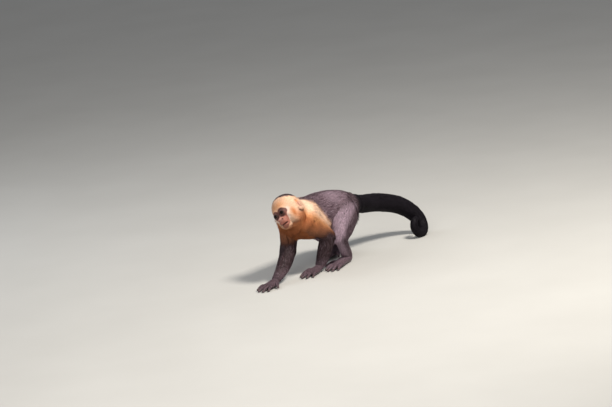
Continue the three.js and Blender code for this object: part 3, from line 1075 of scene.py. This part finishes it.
def spread_roots(corners, wanted, number):
    """Places spread evenly over triangles, more where more are wanted, and their triangles."""
    run = np.cumsum(lengths(face_crosses(corners)) * wanted)
    at = (np.arange(number) + random.random(number)) / number * run[-1]
    chosen = np.searchsorted(run, at).clip(0, len(run) - 1)
    u, v = random.random((2, number))
    over = u + v > 1
    u, v = np.where(over, 1 - u, u), np.where(over, 1 - v, v)
    a, b, c = corners[chosen].transpose(1, 0, 2)
    return a + (b - a) * u[:, None] + (c - a) * v[:, None], chosen


def hair_wanted(points, normals, owner, depth, along):
    """How thickly the tufts stand: none on palms, soles, nails and lids, few on the face."""
    q = to_head(points)
    near = lengths(q) < HEAD_REACH
    on_head = near & (owner == HEAD)
    bare = np.where(on_head, smooth_step(1.0, 0.9, face_reach(q)), 0)
    density = np.clip(10 / (depth + 1), 0.8, 5) * (1 - 0.85 * bare)
    by_eye = near & (lengths(on_eye(q)) < 12)
    inside = on_head & (np.abs(mouth_height(q)) < 2.6) & (q[:, 1] > 30)
    ear, skull = ear_distance(q), skull_distance(q)
    inside |= near & (np.abs(ear - skull) < 2.5) & (ear < 6)  # the fold round an ear
    palm = np.isin(owner, EXTREMITIES) & (normals[:, 2] < 0.1)
    under = points[:, 2] < 1.5
    by_nail = np.isin(owner, DIGITS) & (along > 0.8)
    return np.where(by_eye | inside | palm | under | by_nail, 0, density)


def onto_level(points, level, reach=3.5):
    """Moves points towards a height above the skin; also the way out from the skin there."""
    d = skin_distance(points)
    slopes = [skin_distance(points + offset) - d for offset in np.eye(3)]
    way = unit(np.stack(slopes, axis=1))
    return points + way * np.clip(level - d, -reach, reach)[:, None], way


def tuft_paths(roots, normals, depth, lie):
    """Each tuft's bend, tip, the ways across it and out from the skin, and its width."""
    count = len(roots)
    lie = lie - normals * (lie * normals).sum(1, keepdims=True)
    flat = smooth_step(0.1, 0.6, lengths(lie))  # low where the hair parts or meets
    lie = unit(lie)
    side = np.cross(normals, lie)
    stray = 0.16 * random.normal(size=count) + 0.16 * ripple(roots, 24, 11)
    lie = lie * np.cos(stray)[:, None] + side * np.sin(stray)[:, None]
    clump = 0.5 + 0.5 * ripple(roots, 9, 13).clip(-1, 1)
    height = depth * (0.8 + 0.08 * clump + 0.14 * random.random(count))
    length = (3.0 + 1.8 * depth) * (0.8 + 0.4 * random.random(count))
    length = np.where(depth < 2, 1.8 + 1.5 * depth, length) * (0.5 + 0.5 * flat)
    width = (0.2 + 0.105 * depth) * (0.8 + 0.5 * random.random(count))
    rest = length * (1 - BEND_AT)
    bend = roots + lie * (length * BEND_AT)[:, None] + normals * (height * 0.9)[:, None]
    bend, out = onto_level(bend, height)
    tip = bend + lie * rest[:, None]
    tip, _ = onto_level(tip, height * (0.72 + 0.33 * random.random(count)))
    span = tip - bend
    tip = bend + span * np.minimum(1, 1.25 / (lengths(span) / rest))[:, None]
    run = tip - roots
    ahead = ((bend - roots) * run).sum(1) / (run**2).sum(1).clip(0.01)
    bend = bend + run * (ahead.clip(0.25, 0.7) - ahead)[:, None]
    bend[:, 2] = np.maximum(bend[:, 2], 0.6)  # above the floor
    tip[:, 2] = np.maximum(tip[:, 2], 0.3)
    return bend, tip, unit(np.cross(normals, lie)), out, width


# A lock's points are its root, three round its bend and its tip; its first and fourth faces
# lie against the skin.
LOCK_FACES = [(2, 1, 0), (3, 2, 0), (1, 3, 0), (1, 2, 4), (2, 3, 4), (3, 1, 4)]


def locks(roots, bends, tips, across, out, width):
    """Closed locks of hair, three-sided and pointed at both ends: points and corner normals."""
    top = unit(np.cross(tips - roots, across))
    half = (width / 2)[:, None]
    points, shading = [roots], [out]
    for a, b in ((-1, -0.25), (1, -0.25), (0, 0.5)):
        points.append(bends + across * a * half + top * b * half)
        shading.append(unit(out + across * a * 0.4))
    points.append(tips)
    shading.append(out)
    corners = np.stack(shading, axis=1)[:, np.ravel(LOCK_FACES)].reshape(-1, 6, 3, 3)
    corners[:, [0, 3]] = -top[:, None, None]
    return np.stack(points, axis=1).reshape(-1, 3), corners.reshape(-1, 3)


def patch_pattern():
    """Where the corners of a lock's faces lie in its patch of the map."""
    places = []
    for end in (0, 1):
        for k in range(3):
            sides = [(k / 3, 0.45), ((k + 1) / 3, 0.45)]
            places += [*(sides if end else sides[::-1]), ((k + 0.5) / 3, end)]
    return np.array(places)


def map_places(owner, place, numbers):
    """The map's place of each root: a strip for each chain, around by along."""
    strip = 1 / len(numbers)
    which = np.searchsorted(numbers, owner)
    u = (which + 0.02 + 0.96 * place[:, 0]) * strip
    return np.stack([u, 0.02 + 0.95 * place[:, 1]], axis=1)


HALVES = {
    "coat_face": lambda points: to_head(points)[:, 1] >= FACE_BACK,
    "coat_head": lambda points: to_head(points)[:, 1] < FACE_BACK,
    "coat_front": lambda points: points[:, 1] < WAIST,
    "coat_back": lambda points: points[:, 1] >= WAIST,
}


def make_coat(skin, hair):
    """All pieces of the coat, as tufts rooted in the skin."""
    points = mesh_points(skin.data)
    triangles = triangles_of(skin.data)
    corners = points[triangles]
    middles = corners.mean(1)
    normals = unit(face_crosses(corners))
    owner, depth, _, place = on_body(middles)
    wanted = hair_wanted(middles, normals, owner, depth, place[:, 1])
    coats = []
    for name, (numbers, number) in COAT_PIECES.items():
        part = np.isin(owner, numbers) & (wanted > 0)
        if name in HALVES:
            part &= HALVES[name](middles)
        roots, chosen = spread_roots(corners[part], wanted[part], number)
        out = normals[part][chosen]
        own = owner[part][chosen]
        _, deep, lie, place = on_body(roots)
        bends, tips, across, open_way, width = tuft_paths(roots, out, deep, lie)
        hue = streaked(markings(bends, own, place[:, 0]), place)
        sunk = roots - out * ROOT_DEPTH
        shapes = locks(sunk, bends, tips, across, open_way, width)
        coats.append(make_piece(name, shapes, hue, hair))
        give_map(coats[-1].data, map_places(own, place, sorted(numbers)))
    return coats


def streaked(hue, place):
    """Streaks down the coat, stronger on the dark coat, and some of the dark hairs paler: partly
    tone, partly painted sheen.
    """
    waves = np.random.default_rng(21)
    streak = np.zeros(len(hue))
    for _ in range(8):
        turns, runs = waves.integers(28, 76), waves.uniform(-9, 9)
        phase = waves.uniform(0, 2 * math.pi)
        streak += np.sin(2 * math.pi * (place[:, 0] * turns + place[:, 1] * runs) + phase) / 3
    dark = smooth_step(0.42, 0.32, hue[:, 0]) * smooth_step(0.45, 0.55, hue[:, 1] / hue[:, 0])
    # the stronger streaks on the dark coat are painted sheen along its locks
    hue = hue * (1 + (0.1 + 0.4 * dark) * streak.clip(-1.6, 2))[:, None]
    pale_and_sheen = dark * smooth_step(0.02, 0.05, hue[:, 0])
    return mix(hue, PALE_HAIR_AND_SHEEN, pale_and_sheen * 0.6 * random.random(len(hue)) ** 3)


def make_piece(name, shapes, hue, hair):
    """One piece of the coat: its locks, with the values that its material reads."""
    points, shading = shapes
    starts = np.arange(len(hue))[:, None, None] * 5
    coat = new_object(name, points, (np.array(LOCK_FACES)[None] + starts).reshape(-1, 3))
    give_colours(coat.data, "hue", np.repeat(hue, 5, axis=0))
    give_values(coat.data, "reach", np.tile([0, 0.5, 0.5, 0.5, 1], len(hue)))
    give_values(coat.data, "strand", np.repeat(random.random(len(hue)), 5))
    coat.data.normals_split_custom_set(shading.astype(np.float32))
    coat.data.materials.append(hair)
    return coat


def give_map(mesh, places):
    layer = mesh.uv_layers.new(name="OFBake")
    corners = places[:, None] + (patch_pattern()[None] - 0.5) * PATCH
    layer.data.foreach_set("uv", corners.astype(np.float32).ravel())


# ---- eyes and nails
def ball_mesh(rings, spokes):
    """Places on a round ball, its first pole at +Y, and its faces as triangles."""
    turns = np.linspace(0, 2 * math.pi, spokes, endpoint=False)
    tilts = np.linspace(0, math.pi, rings + 1)[1:-1]
    places = [[0, 1, 0]]
    places += [
        [math.sin(tilt) * math.cos(turn), math.cos(tilt), math.sin(tilt) * math.sin(turn)]
        for tilt in tilts
        for turn in turns
    ]
    places.append([0, -1, 0])
    last = len(places) - 1
    faces = []
    for k in range(spokes):
        after = (k + 1) % spokes
        faces.append((0, 1 + after, 1 + k))
        faces.append((last, last - spokes + k, last - spokes + after))
        for ring in range(len(tilts) - 1):
            a = 1 + ring * spokes
            b = a + spokes
            faces += [(a + k, a + after, b + after), (a + k, b + after, b + k)]
    return np.array(places), np.array(faces)


def make_eye(side, material):
    """A dark, wet eye, with its pupil turned a little outwards as the animal looks ahead."""
    places, faces = ball_mesh(40, 64)
    rise = np.exp(-((1 - places[:, 1]) / 0.13) ** 2) * 0.03  # the cornea
    q = places * (EYE_RADIUS - 0.1) * (0.97 + rise)[:, None]
    sign = 1 if side == "left" else -1
    way = np.array(Matrix.Rotation(-sign * math.radians(6), 3, "Z"))
    q = q @ way.T + EYE_AT * [sign, 1, 1]
    eye = new_object(f"eyeball_{side}", from_head(q), faces[:, ::-1])
    give_values(eye.data, "gaze", np.degrees(np.arccos(np.clip(places[:, 1], -1, 1))))
    eye.data.materials.append(material)
    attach(eye, "root")
    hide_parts(f"eye_{side}")


def eye_material():
    """Dark brown iris with fine rays round a black pupil, and a brown rim."""
    n = Nodes("eye")
    stops = [
        (0.0, (0.002, 0.002, 0.002)),
        (0.115, (0.002, 0.002, 0.002)),
        (0.125, (0.035, 0.014, 0.006)),
        (0.22, (0.020, 0.008, 0.004)),
        (0.25, (0.004, 0.002, 0.002)),
        (0.30, (0.05, 0.03, 0.022)),
    ]
    rings = n.ramp(n.map(n.attribute("gaze"), 0, 180, 0, 1), stops)
    rays = n.map(n.noise(1400, 2), 0.3, 0.7, 0.6, 1.5)
    n.feed("Base Color", n.scaled(rings, rays))
    n.set(Roughness=0.06, Specular_IOR_Level=0.16)
    return n.material


# Sizes in mm, spread in degrees; behind is the share of the length before the digit's tip.
NAIL = SimpleNamespace(length=5.2, behind=0.75, spread=58, rise=0.65, thickness=0.6, taper=0.22)
NAIL_GRID = (6, 8)  # faces along and across


def nail_shell(tube):
    """A thin curved plate on top of a digit's tip: places and triangles."""
    last = len(tube.middles) - 1
    steps, across = NAIL_GRID
    rows = []
    for lift in (NAIL.rise, NAIL.rise - NAIL.thickness):
        for i in range(steps + 1):
            share = i / steps
            run = (share - NAIL.behind) * NAIL.length
            narrow = math.sqrt(max(1 - max(share - 0.55, 0) ** 2 / 0.28, 0.1))
            radius = tube.radii[last] * (1 - NAIL.taper * share) + lift
            middle = tube.middles[last] + tube.along[last] * run
            for j in range(across + 1):
                angle = math.radians((2 * j / across - 1) * NAIL.spread * narrow)
                out = tube.side[last] * math.sin(angle) * radius[0]
                out = out + tube.up[last] * math.cos(angle) * radius[1]
                rows.append(middle + out)
    width = across + 1
    sheet = width * (steps + 1)
    faces = []
    for i in range(steps):
        for j in range(across):
            a = i * width + j
            faces += [(a, a + 1, a + width + 1), (a, a + width + 1, a + width)]
            b = a + sheet
            faces += [(b, b + width + 1, b + 1), (b, b + width, b + width + 1)]
    rim = list(range(width))
    rim += [i * width + across for i in range(1, steps + 1)]
    rim += [steps * width + j for j in range(across - 1, -1, -1)]
    rim += [i * width for i in range(steps - 1, 0, -1)]
    for a, b in zip(rim, rim[1:] + rim[:1]):
        faces += [(a, a + sheet, b + sheet), (a, b + sheet, b)]
    return np.array(rows), np.array(faces)


def make_nails(material):
    points, faces = zip(*(nail_shell(CHAINS[number]) for number in DIGITS))
    faces = [sides + k * len(points[0]) for k, sides in enumerate(faces)]
    nails = new_object("nails", np.concatenate(points), np.concatenate(faces))
    nails.data.materials.append(material)
    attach(nails, "root")


def nail_material():
    n = Nodes("nail")
    stops = [(0, (0.035, 0.022, 0.022)), (1, (0.13, 0.085, 0.08))]
    n.feed("Base Color", n.ramp(n.noise(420, 4), stops))
    n.feed("Roughness", n.map(n.noise(900), 0.3, 0.7, 0.25, 0.4))
    return n.material


# ---- the animal
skin = make_skin()
skin_points = mesh_points(skin.data)
skin_owner, _, _, skin_place = on_body(skin_points)
give_colours(skin.data, "hue", markings(skin_points, skin_owner, skin_place[:, 0]))
skin.data.materials.append(skin_material())
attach(skin, "root")
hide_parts(*FLESH)
eye_look = eye_material()
for side in ("left", "right"):
    make_eye(side, eye_look)
make_nails(nail_material())
for coat in make_coat(skin, coat_material()):
    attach(coat, "root")


# ---- floor, light and camera
AZIMUTH, ELEVATION, ROLL = (math.radians(angle) for angle in (38, 12, 6.5))
LENS, SENSOR, DISTANCE = 200, 36, 9.69  # mm, mm, metres
AIM = (-39.9, 179.55)  # mm right and up of the source's origin, at the middle of the picture


def make_camera():
    level = np.array([math.cos(AZIMUTH), math.sin(AZIMUTH), 0])
    back = np.array([
        math.sin(AZIMUTH) * math.cos(ELEVATION),
        -math.cos(AZIMUTH) * math.cos(ELEVATION),
        math.sin(ELEVATION),
    ])
    upright = np.cross(back, level)
    right = level * math.cos(ROLL) - upright * math.sin(ROLL)
    up = level * math.sin(ROLL) + upright * math.cos(ROLL)
    place = to_world(right * AIM[0] + up * AIM[1]) + back * DISTANCE
    data = bpy.data.cameras.new("camera")
    data.lens, data.sensor_width, data.clip_end = LENS, SENSOR, 100
    camera = in_scene("camera", data)
    camera.matrix_world = Matrix(
        [[right[k], up[k], back[k], place[k]] for k in range(3)] + [[0, 0, 0, 1]]
    )
    bpy.context.scene.camera = camera


def make_light(name, place, energy, size, tint):
    """A soft square lamp in metres, aimed at the animal's middle."""
    data = bpy.data.lights.new(name, "AREA")
    data.energy, data.size, data.color = energy, size, tint
    lamp = in_scene(name, data)
    lamp.location = place
    way = Vector((0, 0, 0.12)) - Vector(place)
    lamp.rotation_euler = way.to_track_quat("-Z", "Y").to_euler()


def make_floor():
    """A plain pale floor, wide enough to fill the picture."""
    mesh = bpy.data.meshes.new("floor")
    reach = 20  # metres
    corners = [(-reach, -reach, 0), (reach, -reach, 0), (reach, reach, 0), (-reach, reach, 0)]
    mesh.from_pydata(corners, [], [(0, 1, 2, 3)])
    floor = in_scene("floor", mesh)
    n = Nodes("floor")
    n.feed("Base Color", n.ramp(n.noise(3), [(0, (0.50, 0.49, 0.47)), (1, (0.56, 0.55, 0.53))]))
    n.set(Roughness=0.9, Specular_IOR_Level=0.1)
    mesh.materials.append(n.material)


make_camera()
make_light("key", (1.5, 0.1, 2.4), 85, 0.6, (1, 0.95, 0.86))
make_light("front", (0.9, -2.2, 1.4), 24, 1.4, (1, 0.97, 0.92))
make_light("far_side", (-1.8, -0.6, 1.6), 14, 1.4, (0.9, 0.95, 1))
bpy.context.scene.view_settings.view_transform = "Standard"
world = bpy.data.worlds.new("world")
bpy.context.scene.world = world
world.use_nodes = True
background = world.node_tree.nodes["Background"]
background.inputs["Color"].default_value = (0.88, 0.91, 0.95, 1)
background.inputs["Strength"].default_value = 0.3
make_floor()
